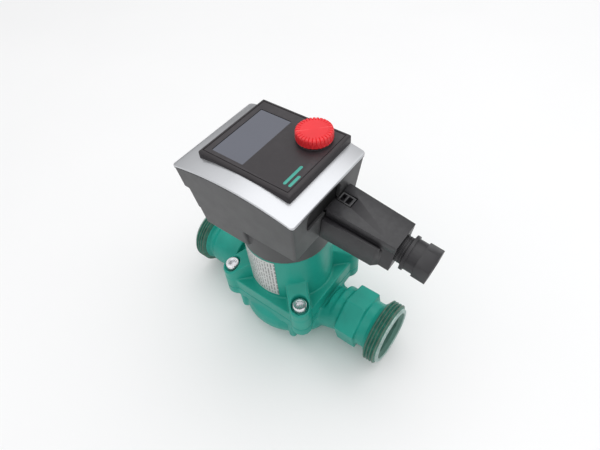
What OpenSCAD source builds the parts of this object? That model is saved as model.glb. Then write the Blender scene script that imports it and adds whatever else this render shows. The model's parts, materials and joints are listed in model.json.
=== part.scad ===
// Wet-rotor circulator pump: threaded in-line volute, canned motor, electronic control
// module with a display and a turn-and-push knob, and an angled mains plug with a cable gland.
// Origin: centre of the volute's foot. +X along the pipe towards the discharge port,
// +Z up the motor shaft. Millimetres.

/* [Pipe connection] */
// Port face to port face
port_span = 180; // [178:1:186]
// Height of the pipe axis above the foot
pipe_h = 30; // [29:0.5:34]
// Crest radius of the G 1 1/2 port threads
thread_r = 23.9; // [23.7:0.05:24]
// Thread pitch, 11 to the inch
thread_pitch = 2.309; // [2.3:0.001:2.32]
// Number of thread crests at each port
thread_crests = 4; // [3:1:4]
// Radius of the water bore at each port
port_bore_r = 16.2; // [14:0.2:17]
// Radius over the corners of the spanner hexagon
hex_r = 22.8; // [22:0.2:23.4]

/* [Motor] */
// Half the screw spacing along X
screw_x = 31.7; // [31:0.1:32.5]
// Half the screw spacing along Y
screw_y = 31.4; // [31:0.1:32.5]
// Outer radius of the motor housing
motor_r = 31.5; // [31:0.1:32]
// Height of the motor housing's upper rim
motor_top = 94.6; // [93:0.1:96]

/* [Control module] */
// Length of the module cover along X
cover_x = 91.7; // [88:0.1:94]
// Width of the module cover along Y
cover_y = 72.5; // [70:0.1:74]
// Shift of the module's centre from the motor axis, the same along X and Y
module_shift = -4.4; // [-5:0.1:-4]
// Height of the cover's top at its two ends
cover_end_z = 160.6; // [159:0.1:162]
// Rise of the cover's arch from its ends to its middle
cover_rise = 5.8; // [5:0.1:6]
// Draft of the module's sides, run per unit height
draft = 0.12; // [0.1:0.01:0.13]
// Draft of the module's end away from the plug
end_draft = 0.02; // [0:0.01:0.04]

/* [Display panel and knob] */
// Height of the display panel's flat top
panel_z = 168.7; // [168.5:0.1:169.5]
// Radius of the knob
knob_r = 11.6; // [11:0.1:12]
// Height of the knob
knob_h = 6; // [5:0.1:7]
// Gap under the knob
knob_gap = 1.5; // [1.4:0.1:2]

/* [Plug and gland] */
// Tilt of the plug below the horizontal, degrees
plug_tilt = 8; // [7:0.5:8]
// Length of the plug body
plug_len = 46; // [44:0.5:48]
// Height of the plug body
plug_h = 24; // [23:0.5:24]
// Outer radius of the gland nut
nut_r = 11.3; // [11:0.1:12]

/* [Hidden] */
$fn = 96;
eps = 0.01;
through = 200;

// Pump housing
flange_z0 = 31;
flange_z = 40;
ear_r = 8;
screw_r = 3;
volute_outline = [[0, 0], [24, 0], [31, 4], [37, 10], [40.5, 17], [41, 23], [40, 29],
    [37.5, 33], [0, 33]];
chamber_r = 30;
chamber_z = 20;
seat_r = 33;
seat_z = 36;
eye_r = 12.5;
eye_z = 17;
inlet_z = 8;
inlet_r = 10;
in_channel_at = [-22, 3, 25];
in_channel_turn = [0, -80, 0];
out_channel_at = [22, -6, 25];
out_channel_turn = [0, 80, 10];
channel_len = 32;
in_duct_at = [-54, 0, 28];
in_duct_tilt = 110;
in_duct_r = 9.5;
in_duct_len = 56;
out_duct_at = [20, -4, 29];
out_duct_turn = 7;
out_duct_r = 8.5;
out_duct_len = 36;
bore_x = 52;
wear_ring_r = 10.8;
wear_ring_h = 3;
plate_r = seat_r - 0.2;
plate_t = 2;
plate_hub_r = 10;
plate_hole_r = 1.5;
plate_hole_at = 22;
hole_step = 60;
port_x = port_span / 2;
lip_len = 2.2;
lip_r = thread_r - 2.1;
root_r = thread_r - 1.48;
crest_w = 0.5;
crest_base = 2;
crest_x = port_x - lip_len - 0.7;
neck_r = 18;
neck_x0 = 46;
neck_end = 12;
neck_cone = 3;
channel_r = 16.5;
hex_x0 = 53;
hex_x1 = 69;
hex_turn = 11;
collar_x = 71;
port_collar_r = 20.3;
port_collar_edge = 1.5;
side_out = 5.4;
pad_pos = [24, 33.5];
pad_r = 3.5;
pad_z = 15;
hole_z = 32;
flange_half = screw_x + ear_r + 0.5;

// Motor
flange_top = 51;
head_r = 5;
head_z = 57;
head_h = 6;
hex_deep = 3;
hex_socket_r = 2.9;
label_t = 0.25;
ear_z0 = 48;
ear_top = 58.5;
ear_slope_z = 69.5;
ear_back_r = 28.6;
ear_w = 7.8;
screw_pos_r = sqrt(screw_x * screw_x + screw_y * screw_y);
pocket_r = 6.3;
stator_floor = 46;
stator_z0 = 52;
stator_z1 = 82;
stator_r = 28;
can_r = 16;
can_t = 0.5;
can_top = 90;
can_lid = 1;
carrier_hole_at = 11.8;
carrier_hole_r = 1.5;
shaft_r = 4;
bearing_r = 7.5;
bearing_h = 8;
bearing_clear = 0.05;
slots = 12;
slot_w = 3.6;
slot_r = 24.5;
coil_r = [17.5, 25.5];
coil_h = 5;
shaft_z0 = 22;
shaft_len = 66;
thrust_r = 7;
thrust_z = [33, 34.6];
rotor_z = [50, 76];
rotor_r = 11.5;
magnet_t = 3.1;
magnet_gap = 6;
sleeve_t = 0.6;
impeller_r = 27;
shroud_r = 10;
hub_r = 6.5;
neck_r0 = 9.3;
neck_r1 = 10.4;
impeller_z = [18, 21.5, 23, 30.5, 32.5];
blade_at = [13, 9];
blade_r = [16, 17.2];
poles = 6;
label_a = [-150, -69.5];
label_z = [54, 93];

// Module
mx = module_shift;
my = module_shift;
cover_t = 1.6;
arch_r = (pow(cover_x / 2, 2) + pow(cover_rise, 2)) / (2 * cover_rise);
arch_zc = cover_end_z + cover_rise - arch_r;
box_inset = 0.35;
wall = 2.5;
box_top = 167;
box_ref = 160;
band_z = 141;
band_step = 3.9;
right_z = 122;
left_z = 105.5;
left_x1 = -5;
low_step = 1.2;
lid_z = [150, 170];
panel_z0 = 155;
cut_z = [140, 180];
skirt_r = motor_r + 0.4;
skirt_in = 28.4;
lug_r = 4;
lug_pos_r = 24;
lug_n = 3;
lug_h = 6;
lug_a = 30;
lug_screw_r = 1.6;
lug_head_r = 3;
floor_t = 3.4;
sleeve_r = 19.5;
seal_t = 1.6;
socket_lo = [-20, -12, -21];
socket_hi = [8, 12, -3];

// Display panel
panel_x = [-37.9, 30.7];
panel_y = [-28.8, 32.7];
window_x = [-31.4, -7];
window_y = [-23.3, 22.9];
knob_pos = [14.4, 17.5];
knob_z = panel_z + knob_gap;
board_z = 150;
power_z = 126;
board_t = 1.6;
board_x = [-40, 30];
board_y = [-32, 24.8];
power_x1 = 22;
power_y1 = 23.6;
pillar_x = [-37, 19];
pillar_y = [-29, 21];
pillar_r = 2.5;
pillar_pin_r = 1.6;
cap_x = -31;
cap_y = [-22, -4];
cap_r = 6;
cap_h = 17;
choke_at = [-29, 13];
choke_r = 5.5;
choke_wire_r = 3;
choke_drop = 4;
screen_z = 160;
glass_t = 1.2;
glass_z = panel_z - 1.5;
knob_hole_r = 5.3;
collar_ring_r = 10.6;
encoder_half = 6.5;
encoder_z = 158.5;
encoder_neck_r = 5;
encoder_bore_r = 3.35;
plunger_z = 154.2;
plunger_r = 2.9;
stem_z = 156;
stem_r = 3;
knob_edge = 0.8;
knob_rim = 1.6;
knob_hub_r = 5;
rib_step = 12;
rib_r = 0.7;
corner_r = 2.2;

// Plug, in its own tilted frame: x out of the socket, z up, origin on the top face
plug_at = [39, 4.5, 146.4];
plug_x0 = 1.3;
plug_top_w = [25, 21.8];
plug_low_w = [33, 29];
plug_split = -6;
rail_x1 = 41;
rail_cut = 4;
gland_z = -12;
gland_x = plug_x0 + plug_len;
collar_r = 8.6;
collar_len = 10;
seal_len = 13.4;
nut_x = gland_x + 4.5;
nut_len = 17;
cable_r = 4.2;
contact_step = 5.5;
contact_z = -12;
contact_r = 2;
contact_t = 0.5;
contact_len = 13.4;
contact_bore = 8;
pin_r = 1.2;
pin_len = 11;
socket_x = [-14, -2.5];
insert_x = -11;
insert_y = 9.8;
insert_z = [-18.8, -5.2];
wiring_x0 = 14;
wiring_end = 6;
wiring_y = 9;
wiring_z = [-21.5, -2.5];
seal_r = 6.5;
lid_screw_x = 27;
lid_screw_r = 1.6;
lid_boss_r = 3.2;
latch_y = 1.1;
latch_w = 7.2;
latch_x = [1.8, 10.9];
latch_z = [-2.6, -0.3];
latch_gap = 0.3;
latch_well_z = -4.2;
latch_holes = [[2.8, 5.4], [6.6, 9.3]];
latch_hole_w = 5.2;
latch_pin_at = [10.2, -1.6];
latch_pin_r = 0.6;
latch_pin_w = 10.4;
latch_pin_clear = 0.05;
ring_x = 12.5;
ring_t = 1.5;
ring_r = 8;
nut_flange = 2;
nut_body_x = 8;
nut_body_r = nut_r - 1.2;

// ---------- shared shapes ----------

// Cylinder along +X from x0 to x1
module xcyl(x0, x1, r, z = 0, y = 0) {
    translate([x0, y, z]) rotate([0, 90, 0]) cylinder(r = r, h = x1 - x0);
}

// Box from its lowest to its highest corner
module block(lo, hi) {
    translate(lo) cube(hi - lo);
}

// Ring between two radii
module ring(r0, r1, z0, z1) {
    translate([0, 0, z0]) difference() {
        cylinder(r = r1, h = z1 - z0);
        translate([0, 0, -1]) cylinder(r = r0, h = z1 - z0 + 2);
    }
}

// The four screw positions
module at_screws() {
    for (sx = [-1, 1], sy = [-1, 1]) translate([sx * screw_x, sy * screw_y, 0]) children();
}

// Square flange with round corners, from z0 to z1
module flange_plate(z0, z1) {
    at_screws() translate([0, 0, z0]) cylinder(r = ear_r, h = z1 - z0);
    block([-screw_x - side_out, -screw_y, z0], [screw_x + side_out, screw_y, z1]);
    block([-screw_x, -screw_y - side_out, z0], [screw_x, screw_y + side_out, z1]);
}

// Upright rectangle with round corners, from its low to its high corner
module round_block(lo, hi, r) {
    for (x = [lo.x + r, hi.x - r], y = [lo.y + r, hi.y - r])
        translate([x, y, lo.z]) cylinder(r = r, h = hi.z - lo.z);
    block([lo.x + r, lo.y, lo.z], [hi.x - r, hi.y, hi.z]);
    block([lo.x, lo.y + r, lo.z], [hi.x, hi.y - r, hi.z]);
}

// ---------- hydraulics ----------

// Thread, lip and neck of one port, on the +X side
module port_outside() {
    xcyl(neck_x0, port_x - neck_end, neck_r, pipe_h);
    translate([port_x - neck_end - neck_cone + 1, 0, pipe_h]) rotate([0, 90, 0])
        cylinder(r1 = neck_r, r2 = root_r, h = neck_cone);
    xcyl(port_x - neck_end + 1, port_x - lip_len, root_r, pipe_h);
    xcyl(port_x - lip_len - eps, port_x, lip_r, pipe_h);
    translate([0, 0, pipe_h]) rotate([0, 90, 0]) rotate_extrude()
        for (i = [0 : thread_crests - 1]) {
            x = crest_x - i * thread_pitch;
            x0 = x - crest_base / 2;
            x1 = x + crest_base / 2;
            polygon([[root_r - 0.5, x0], [root_r, x0], [thread_r, x - crest_w / 2],
                [thread_r, x + crest_w / 2], [root_r, x1], [root_r - 0.5, x1]]);
        }
}

// Spanner hexagon on the discharge port
module port_hexagon() {
    translate([hex_x0, 0, pipe_h]) rotate([0, 90, 0]) rotate([0, 0, hex_turn])
        cylinder(r = hex_r, h = hex_x1 - hex_x0, $fn = 6);
}

// Round collar on the suction port
module port_collar() {
    xcyl(-collar_x, -neck_x0, port_collar_r, pipe_h);
    translate([-collar_x, 0, pipe_h]) rotate([0, -90, 0])
        cylinder(r1 = port_collar_r, r2 = neck_r, h = port_collar_edge);
}

// Outside of the volute bowl
module volute_outside() {
    rotate_extrude() polygon(volute_outline);
}

module pump_housing() {
    color([0.18, 0.58, 0.51]) difference() {
        union() {
            volute_outside();
            flange_plate(flange_z0, flange_z);
            for (sx = [-1, 1], sy = [-1, 1]) translate([sx * pad_pos.x, sy * pad_pos.y, pad_z])
                cylinder(r = pad_r, h = flange_z0 - pad_z + 1);
            port_outside();
            port_hexagon();
            mirror([1, 0, 0]) port_outside();
            port_collar();
            // channels that join the bowl to the port necks
            translate(out_channel_at) rotate(out_channel_turn) cylinder(r = channel_r, h = channel_len);
            translate(in_channel_at) rotate(in_channel_turn) cylinder(r = channel_r, h = channel_len);
        }
        // the motor flange's seat is flat
        block([-flange_half, -flange_half, flange_z], [flange_half, flange_half, flange_z + 20]);
        // impeller chamber and the seat for the bearing plate
        translate([0, 0, chamber_z]) cylinder(r = chamber_r, h = through);
        translate([0, 0, seat_z]) cylinder(r = seat_r, h = through);
        // eye with the wear ring's seat
        translate([0, 0, inlet_z]) cylinder(r = inlet_r, h = through);
        translate([0, 0, eye_z]) cylinder(r = eye_r, h = through);
        // suction passage, under the impeller
        xcyl(-port_x - 1, -bore_x, port_bore_r, pipe_h);
        translate(in_duct_at) rotate([0, in_duct_tilt, 0]) cylinder(r = in_duct_r, h = in_duct_len);
        // discharge passage, out of the chamber
        xcyl(bore_x, port_x + 1, port_bore_r, pipe_h);
        translate(out_duct_at) rotate([0, 90, out_duct_turn])
            cylinder(r = out_duct_r, h = out_duct_len);
        // screw holes
        at_screws() translate([0, 0, hole_z]) cylinder(r = screw_r, h = through);
    }
}

module wear_ring() {
    color([0.75, 0.76, 0.78]) ring(wear_ring_r, eye_r, eye_z, eye_z + wear_ring_h);
}

module bearing_plate() {
    color([0.72, 0.73, 0.75]) difference() {
        union() {
            ring(bearing_r, plate_r, seat_z, seat_z + plate_t);
            ring(bearing_r, plate_hub_r, seat_z - 1, seat_z + bearing_h - 1);
        }
        for (a = [0 : hole_step : 359]) rotate([0, 0, a]) translate([plate_hole_at, 0, seat_z - 1])
            cylinder(r = plate_hole_r, h = plate_t + 3);
    }
}

module lower_bearing() {
    color([0.25, 0.25, 0.27]) ring(shaft_r + bearing_clear, bearing_r, seat_z - 1,
        seat_z + bearing_h - 1);
}

module flange_gasket() {
    color([0.12, 0.12, 0.12]) ring(chamber_r + 0.4, plate_r, seat_z + plate_t, flange_z);
}

// ---------- motor ----------

// One screw ear, at angle a round the motor axis: a block whose top slopes down to the screw
module screw_ear(a) {
    rotate([0, 0, a]) hull() {
        translate([screw_pos_r, 0, ear_z0]) cylinder(r = ear_w, h = ear_top - ear_z0, $fn = 32);
        block([ear_back_r, -ear_w, ear_z0], [ear_back_r + 2, ear_w, ear_slope_z]);
    }
}

// The four angles of the ears
module at_ears() {
    for (sx = [-1, 1], sy = [-1, 1]) screw_ear(atan2(sy * screw_y, sx * screw_x));
}

module motor_housing() {
    color([0.18, 0.58, 0.51]) difference() {
        union() {
            flange_plate(flange_z, flange_top);
            translate([0, 0, flange_z]) cylinder(r = motor_r, h = motor_top - flange_z);
            at_ears();
        }
        // stator bore, open at the top
        translate([0, 0, stator_floor]) cylinder(r = stator_r, h = through);
        // hole for the rotor can
        translate([0, 0, flange_z - 1]) cylinder(r = can_r + can_t + 0.3, h = through);
        // screw pockets and holes
        at_screws() {
            translate([0, 0, head_z]) cylinder(r = pocket_r, h = through);
            translate([0, 0, flange_z - 1]) cylinder(r = screw_r + 0.3, h = through);
        }
    }
    // lugs that take the module's screws
    color([0.18, 0.58, 0.51]) at_lugs() difference() {
        union() {
            translate([0, 0, motor_top - lug_h]) cylinder(r = lug_r, h = lug_h);
            block([0, -lug_r, motor_top - lug_h], [stator_r - lug_pos_r + 0.6, lug_r, motor_top]);
        }
        translate([0, 0, motor_top - lug_h - 1]) cylinder(r = lug_screw_r, h = through);
    }
}

module at_lugs() {
    for (i = [0 : lug_n - 1]) rotate([0, 0, lug_a + i * 360 / lug_n])
        translate([lug_pos_r, 0, 0]) children();
}

module motor_screws() {
    color([0.86, 0.86, 0.88]) at_screws() difference() {
        union() {
            translate([0, 0, head_z]) cylinder(r = head_r, h = head_h);
            translate([0, 0, hole_z + 0.6]) cylinder(r = screw_r, h = head_z - hole_z);
        }
        translate([0, 0, head_z + head_h - hex_deep]) cylinder(r = hex_socket_r, h = 4, $fn = 6);
    }
}

module rating_plate() {
    color([0.9, 0.9, 0.88]) difference() {
        rotate([0, 0, label_a[0]]) rotate_extrude(angle = label_a[1] - label_a[0])
            translate([motor_r, label_z[0]]) square([label_t, label_z[1] - label_z[0]]);
        screw_ear(atan2(-screw_y, -screw_x));
    }
}

module rotor_can() {
    color([0.8, 0.8, 0.82]) {
        ring(can_r, can_r + can_t, flange_z - 2, can_top);
        translate([0, 0, can_top]) cylinder(r = can_r + can_t, h = can_lid);
        ring(can_r + can_t, chamber_r, flange_z - 2, flange_z);
    }
}

module bearing_carrier() {
    color([0.5, 0.5, 0.52]) difference() {
        ring(bearing_r, can_r, can_top - bearing_h, can_top);
        for (a = [0 : hole_step : 359]) rotate([0, 0, a])
            translate([carrier_hole_at, 0, can_top - bearing_h - 1])
                cylinder(r = carrier_hole_r, h = bearing_h + 2);
    }
}

module upper_bearing() {
    color([0.25, 0.25, 0.27]) ring(shaft_r + bearing_clear, bearing_r, can_top - bearing_h,
        can_top - 1);
}

module stator_core() {
    color([0.55, 0.56, 0.58]) difference() {
        ring(can_r + can_t + 0.4, stator_r - 0.1, stator_z0, stator_z1);
        for (i = [0 : slots - 1]) rotate([0, 0, i * 360 / slots])
            block([can_r, -slot_w / 2, stator_z0 - 1], [slot_r, slot_w / 2, stator_z1 + 1]);
    }
}

module stator_windings() {
    color([0.72, 0.4, 0.18]) {
        ring(coil_r[0], coil_r[1], stator_z0 - coil_h, stator_z0);
        ring(coil_r[0], coil_r[1], stator_z1, stator_z1 + coil_h);
        for (i = [0 : slots - 1]) rotate([0, 0, i * 360 / slots])
            block([coil_r[0] + 0.3, 0.3 - slot_w / 2, stator_z0 - eps],
                [slot_r - 0.3, slot_w / 2 - 0.3, stator_z1 + eps]);
    }
}

module shaft() {
    color([0.93, 0.93, 0.9]) translate([0, 0, shaft_z0]) cylinder(r = shaft_r, h = shaft_len);
}

module thrust_washer() {
    color([0.3, 0.3, 0.32]) ring(shaft_r, thrust_r, thrust_z[0], thrust_z[1]);
}

module rotor_core() {
    color([0.6, 0.6, 0.62]) ring(shaft_r, rotor_r, rotor_z[0], rotor_z[1]);
}

module rotor_magnets() {
    color([0.28, 0.28, 0.3]) for (i = [0 : poles - 1]) rotate([0, 0, i * 360 / poles])
        rotate_extrude(angle = 360 / poles - magnet_gap) translate([rotor_r, rotor_z[0] + 1])
            square([magnet_t, rotor_z[1] - rotor_z[0] - 2]);
}

module rotor_sleeve() {
    color([0.82, 0.82, 0.84]) {
        ring(rotor_r + magnet_t, rotor_r + magnet_t + sleeve_t, rotor_z[0] - 1, rotor_z[1] + 1);
        ring(shaft_r, rotor_r + magnet_t, rotor_z[0] - 1, rotor_z[0]);
        ring(shaft_r, rotor_r + magnet_t, rotor_z[1], rotor_z[1] + 1);
    }
}

module impeller() {
    z = impeller_z;
    color([0.9, 0.88, 0.8]) {
        ring(shaft_r, impeller_r, z[3], z[4]);
        ring(shaft_r, hub_r, z[2] - 0.5, z[3]);
        ring(shroud_r, impeller_r, z[1], z[2]);
        ring(neck_r0, neck_r1, z[0], z[1] + 0.5);
        // back-curved blades between the two shrouds
        for (a = [0 : hole_step : 359]) rotate([0, 0, a]) intersection() {
            translate([blade_at.x, blade_at.y, 0])
                ring(blade_r[0], blade_r[1], z[2] - eps, z[3] + eps);
            ring(shroud_r - 0.6, impeller_r - 0.5, z[1], z[4]);
            block([0, -through, z[1]], [through, blade_at.y + 3, z[4]]);
        }
    }
}

// ---------- control module ----------

// Upright block with drafted sides. x and y are its faces at the reference height,
// and t moves every drafted face inwards.
module drafted(x, y, z0, z1, r, t = 0, flat_right = false) {
    hull() for (z = [z0, z1 - 0.1]) {
        d = draft * (box_ref - z) + t;
        d0 = end_draft * (box_ref - z) + t;
        d1 = flat_right ? t : d;
        for (px = [x[0] + d0 + r, x[1] - d1 - r], py = [y[0] + d + r, y[1] - d - r])
            translate([px, py, z]) cylinder(r = r, h = 0.1, $fn = 32);
    }
}

// Outer or inner form of the module's case, moved inwards by t
module case_form(t) {
    x = [mx - cover_x / 2 + box_inset, mx + cover_x / 2 - box_inset];
    y = [my - cover_y / 2 + box_inset, my + cover_y / 2 - box_inset];
    r = t > 0 ? 0.8 : 1.5;
    drafted(x, y, band_z + t, box_top, r, t);
    drafted([x[0] + band_step, x[1]], y, right_z + t, band_z + t + eps, r, t);
    drafted([x[0] + band_step + low_step, left_x1], y, left_z + t, right_z + t + eps, r, t, true);
}

// Space under the cover's arch, down to radius r of the arch
module under_arch(r) {
    translate([mx, through / 2, arch_zc]) rotate([90, 0, 0])
        cylinder(r = r, h = through, $fn = 180);
}

module in_plug_frame() {
    translate(plug_at) rotate([0, plug_tilt, 0]) children();
}

module module_housing() {
    color([0.42, 0.42, 0.43]) difference() {
        union() {
            intersection() {
                case_form(0);
                under_arch(arch_r - cover_t);
            }
            translate([0, 0, motor_top]) cylinder(r = skirt_r, h = right_z + wall - motor_top);
        }
        case_form(wall);
        // room in the skirt, above the flange that the module's screws hold
        translate([0, 0, motor_top + floor_t])
            cylinder(r = skirt_in, h = right_z - motor_top - floor_t);
        translate([0, 0, motor_top - 1]) cylinder(r = sleeve_r, h = right_z + wall + 2 - motor_top);
        at_lugs() translate([0, 0, motor_top - 1]) cylinder(r = lug_screw_r + 0.7, h = 10);
        // opening for the mains socket
        in_plug_frame() block(socket_lo, socket_hi);
    }
}

module module_seal() {
    color([0.1, 0.1, 0.1]) ring(skirt_in - 1.4, skirt_in - 0.1, motor_top + floor_t,
        motor_top + floor_t + seal_t);
}

module module_screws() {
    color([0.8, 0.8, 0.82]) at_lugs() {
        translate([0, 0, motor_top + floor_t]) cylinder(r = lug_head_r, h = 2);
        translate([0, 0, motor_top - lug_h + 1])
            cylinder(r = lug_screw_r, h = lug_h + floor_t - 1);
    }
}

module power_board() {
    color([0.1, 0.35, 0.2]) difference() {
        block([board_x[0], board_y[0], power_z], [power_x1, power_y1, power_z + board_t]);
        at_pillars() translate([0, 0, power_z - 1]) cylinder(r = pillar_pin_r, h = 4);
    }
}

// Places of the pillars between the two boards
module at_pillars() {
    for (x = pillar_x, y = pillar_y) translate([x, y, 0]) children();
}

module board_pillars() {
    color([0.8, 0.75, 0.5]) at_pillars() {
        translate([0, 0, power_z - 1]) cylinder(r = pillar_pin_r, h = board_t + 1);
        translate([0, 0, power_z + board_t]) cylinder(r = pillar_r, h = board_z - power_z - board_t);
    }
}

module capacitors() {
    color([0.15, 0.2, 0.3]) for (y = cap_y)
        translate([cap_x, y, power_z - cap_h]) cylinder(r = cap_r, h = cap_h);
}

module choke() {
    color([0.7, 0.42, 0.15]) translate([choke_at.x, choke_at.y, 0]) {
        translate([0, 0, power_z - choke_drop]) rotate_extrude() translate([choke_r, 0])
            circle(r = choke_wire_r, $fn = 32);
        ring(choke_r - 2, choke_r + 1.5, power_z - 1.4, power_z);
    }
}

module control_board() {
    color([0.1, 0.35, 0.2]) block([board_x[0], board_y[0], board_z],
        [board_x[1], board_y[1], board_z + board_t]);
}

module display_module() {
    color([0.5, 0.52, 0.5]) {
        block([window_x[0] + 4, window_y[0] + 4, board_z + board_t],
            [window_x[1] - 4, window_y[1] - 4, screen_z]);
        block([window_x[0] + 0.3, window_y[0] + 0.3, screen_z],
            [window_x[1] - 0.3, window_y[1] - 0.3, glass_z]);
    }
}

module module_cover() {
    color([0.85, 0.86, 0.88]) difference() {
        intersection() {
            round_block([mx - cover_x / 2, my - cover_y / 2, lid_z[0]],
                [mx + cover_x / 2, my + cover_y / 2, lid_z[1]], corner_r);
            under_arch(arch_r);
        }
        under_arch(arch_r - cover_t);
        block([window_x[0] - 0.5, window_y[0] - 0.5, cut_z[0]],
            [window_x[1] + 0.5, window_y[1] + 0.5, cut_z[1]]);
        at_knob(cut_z[0]) cylinder(r = knob_hole_r + 0.3, h = cut_z[1] - cut_z[0]);
    }
}

module display_panel() {
    color([0.27, 0.26, 0.28]) difference() {
        union() {
            block([panel_x[0], panel_y[0], panel_z0], [panel_x[1], panel_y[1], panel_z]);
            at_knob(panel_z - 1) cylinder(r = collar_ring_r, h = 1.5);
        }
        under_arch(arch_r);
        block([window_x[0], window_y[0], cut_z[0]], [window_x[1], window_y[1], cut_z[1]]);
        at_knob(cut_z[0]) cylinder(r = knob_hole_r, h = cut_z[1] - cut_z[0]);
    }
}

module display_window() {
    color([0.5, 0.52, 0.55, 0.8]) block([window_x[0] + 0.05, window_y[0] + 0.05, glass_z],
        [window_x[1] - 0.05, window_y[1] - 0.05, glass_z + glass_t]);
}

module at_knob(z) {
    translate([knob_pos.x, knob_pos.y, z]) children();
}

module encoder_body() {
    color([0.3, 0.3, 0.32]) at_knob(0) difference() {
        union() {
            block([-encoder_half, -encoder_half, board_z + board_t],
                [encoder_half, encoder_half, encoder_z]);
            translate([0, 0, encoder_z - eps]) cylinder(r = encoder_neck_r, h = 9);
        }
        translate([0, 0, plunger_z - 1.2]) cylinder(r = encoder_bore_r, h = 20);
    }
}

module encoder_plunger() {
    color([0.85, 0.85, 0.8]) at_knob(plunger_z) cylinder(r = plunger_r, h = stem_z - plunger_z);
}

module encoder_shaft() {
    color([0.7, 0.7, 0.72]) at_knob(stem_z) cylinder(r = stem_r, h = knob_z + knob_h - 2 - stem_z);
}

module adjust_knob() {
    color([0.95, 0.2, 0.22]) at_knob(knob_z) difference() {
        union() {
            cylinder(r = knob_r, h = knob_h - knob_edge);
            translate([0, 0, knob_h - knob_edge])
                cylinder(r1 = knob_r, r2 = knob_r - knob_edge, h = knob_edge);
        }
        translate([0, 0, -1]) cylinder(r = stem_r, h = knob_h - 1);
        difference() {
            translate([0, 0, -1]) cylinder(r = knob_r - knob_rim, h = knob_h - 1.2);
            translate([0, 0, -2]) cylinder(r = knob_hub_r, h = knob_h + 2);
        }
        for (a = [0 : rib_step : 359]) rotate([0, 0, a]) translate([knob_r + 0.25, 0, -1])
            cylinder(r = rib_r, h = knob_h + 2, $fn = 16);
    }
}

// ---------- mains socket and plug ----------

// Places of the three contacts across the plug
module at_contacts(x) {
    for (i = [-1, 0, 1]) translate([x, i * contact_step, contact_z]) rotate([0, 90, 0]) children();
}

module power_socket() {
    color([0.13, 0.13, 0.14]) in_plug_frame() difference() {
        block([socket_x[0], socket_lo.y, socket_lo.z], [socket_x[1], socket_hi.y, socket_hi.z]);
        block([socket_x[0] + 2, -insert_y - 0.5, insert_z[0] - 0.5],
            [0, insert_y + 0.5, insert_z[1] + 0.5]);
        at_contacts(socket_x[0] - 1) cylinder(r = pin_r, h = 5);
    }
}

module socket_pins() {
    color([0.85, 0.7, 0.35]) in_plug_frame() at_contacts(socket_x[0] - 1.5)
        cylinder(r = pin_r, h = pin_len);
}

// Cylinder across the plug on the latch's pivot
module latch_axle(r, w) {
    translate([latch_pin_at.x, latch_y + w / 2, latch_pin_at.y]) rotate([90, 0, 0])
        cylinder(r = r, h = w);
}

// Part of the plug that tapers in width from w[0] to w[1], between two heights
module plug_wedge(w, z0, z1) {
    hull() {
        block([plug_x0, -w[0] / 2, z0], [plug_x0 + 0.1, w[0] / 2, z1]);
        block([gland_x - 0.1, -w[1] / 2, z0], [gland_x, w[1] / 2, z1]);
    }
}

// The wider lower part, which ends in chamfered corners before the gland
module plug_rails() {
    hull() {
        block([plug_x0, -plug_low_w[0] / 2, -plug_h], [plug_x0 + 0.1, plug_low_w[0] / 2, plug_split]);
        block([rail_x1 - rail_cut - 0.1, -plug_low_w[1] / 2, -plug_h],
            [rail_x1 - rail_cut, plug_low_w[1] / 2, plug_split]);
        block([rail_x1 - 0.1, rail_cut - plug_low_w[1] / 2, -plug_h],
            [rail_x1, plug_low_w[1] / 2 - rail_cut, plug_split]);
    }
}

module plug_body() {
    color([0.17, 0.17, 0.18]) in_plug_frame() difference() {
        union() {
            plug_rails();
            plug_wedge(plug_top_w, -plug_h, plug_split);
            block([insert_x, -insert_y, insert_z[0]], [plug_x0 + 1, insert_y, insert_z[1]]);
            xcyl(gland_x - 3, gland_x + collar_len, collar_r, gland_z);
        }
        // wiring space, contact holes and gland bore
        block([wiring_x0, -wiring_y, wiring_z[0]], [gland_x - wiring_end, wiring_y, 0]);
        at_contacts(insert_x - 1) cylinder(r = contact_r, h = 14.5);
        xcyl(gland_x - wiring_end - 2, gland_x + collar_len + 1, cable_r + 0.4, gland_z);
        xcyl(gland_x + 1, gland_x + collar_len + 1, seal_r, gland_z);
        // everything above the split belongs to the cover, up to the gland's collar
        block([plug_x0 + 1, -20, plug_split], [gland_x - 3, 20, 5]);
        translate([lid_screw_x, 0, -30]) cylinder(r = lid_screw_r, h = 20);
    }
}

module plug_cover() {
    color([0.17, 0.17, 0.18]) in_plug_frame() difference() {
        plug_wedge(plug_top_w, plug_split, 0);
        difference() {
            block([wiring_x0, 0.5 - wiring_y, plug_split - 1],
                [gland_x - wiring_end, wiring_y - 0.5, wiring_z[1]]);
            translate([lid_screw_x, 0, -30]) cylinder(r = lid_boss_r, h = 40);
        }
        // room for the insert, the collar and the latch
        block([0, -insert_y - 0.3, plug_split - 1],
            [plug_x0 + 1.3, insert_y + 0.3, insert_z[1] + 0.3]);
        xcyl(gland_x - 3.3, gland_x + 1, collar_r + 0.3, gland_z);
        block([0, latch_y - latch_w / 2 - latch_gap, latch_well_z],
            [latch_x[1] + latch_gap, latch_y + latch_w / 2 + latch_gap, 5]);
        latch_axle(latch_pin_r + latch_pin_clear, latch_pin_w + 0.4);
        xcyl(gland_x - wiring_end - 1, gland_x, cable_r + 0.4, gland_z);
        translate([lid_screw_x, 0, -30]) cylinder(r = lid_screw_r, h = 27);
    }
}

module plug_screw() {
    color([0.7, 0.7, 0.72]) in_plug_frame() translate([lid_screw_x, 0, -plug_h])
        cylinder(r = lid_screw_r, h = plug_h - 3.5);
}

module plug_contacts() {
    color([0.85, 0.7, 0.35]) in_plug_frame() at_contacts(insert_x) difference() {
        cylinder(r = contact_r, h = contact_len);
        translate([0, 0, -1]) cylinder(r = contact_r - contact_t, h = contact_bore + 1);
    }
}

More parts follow.
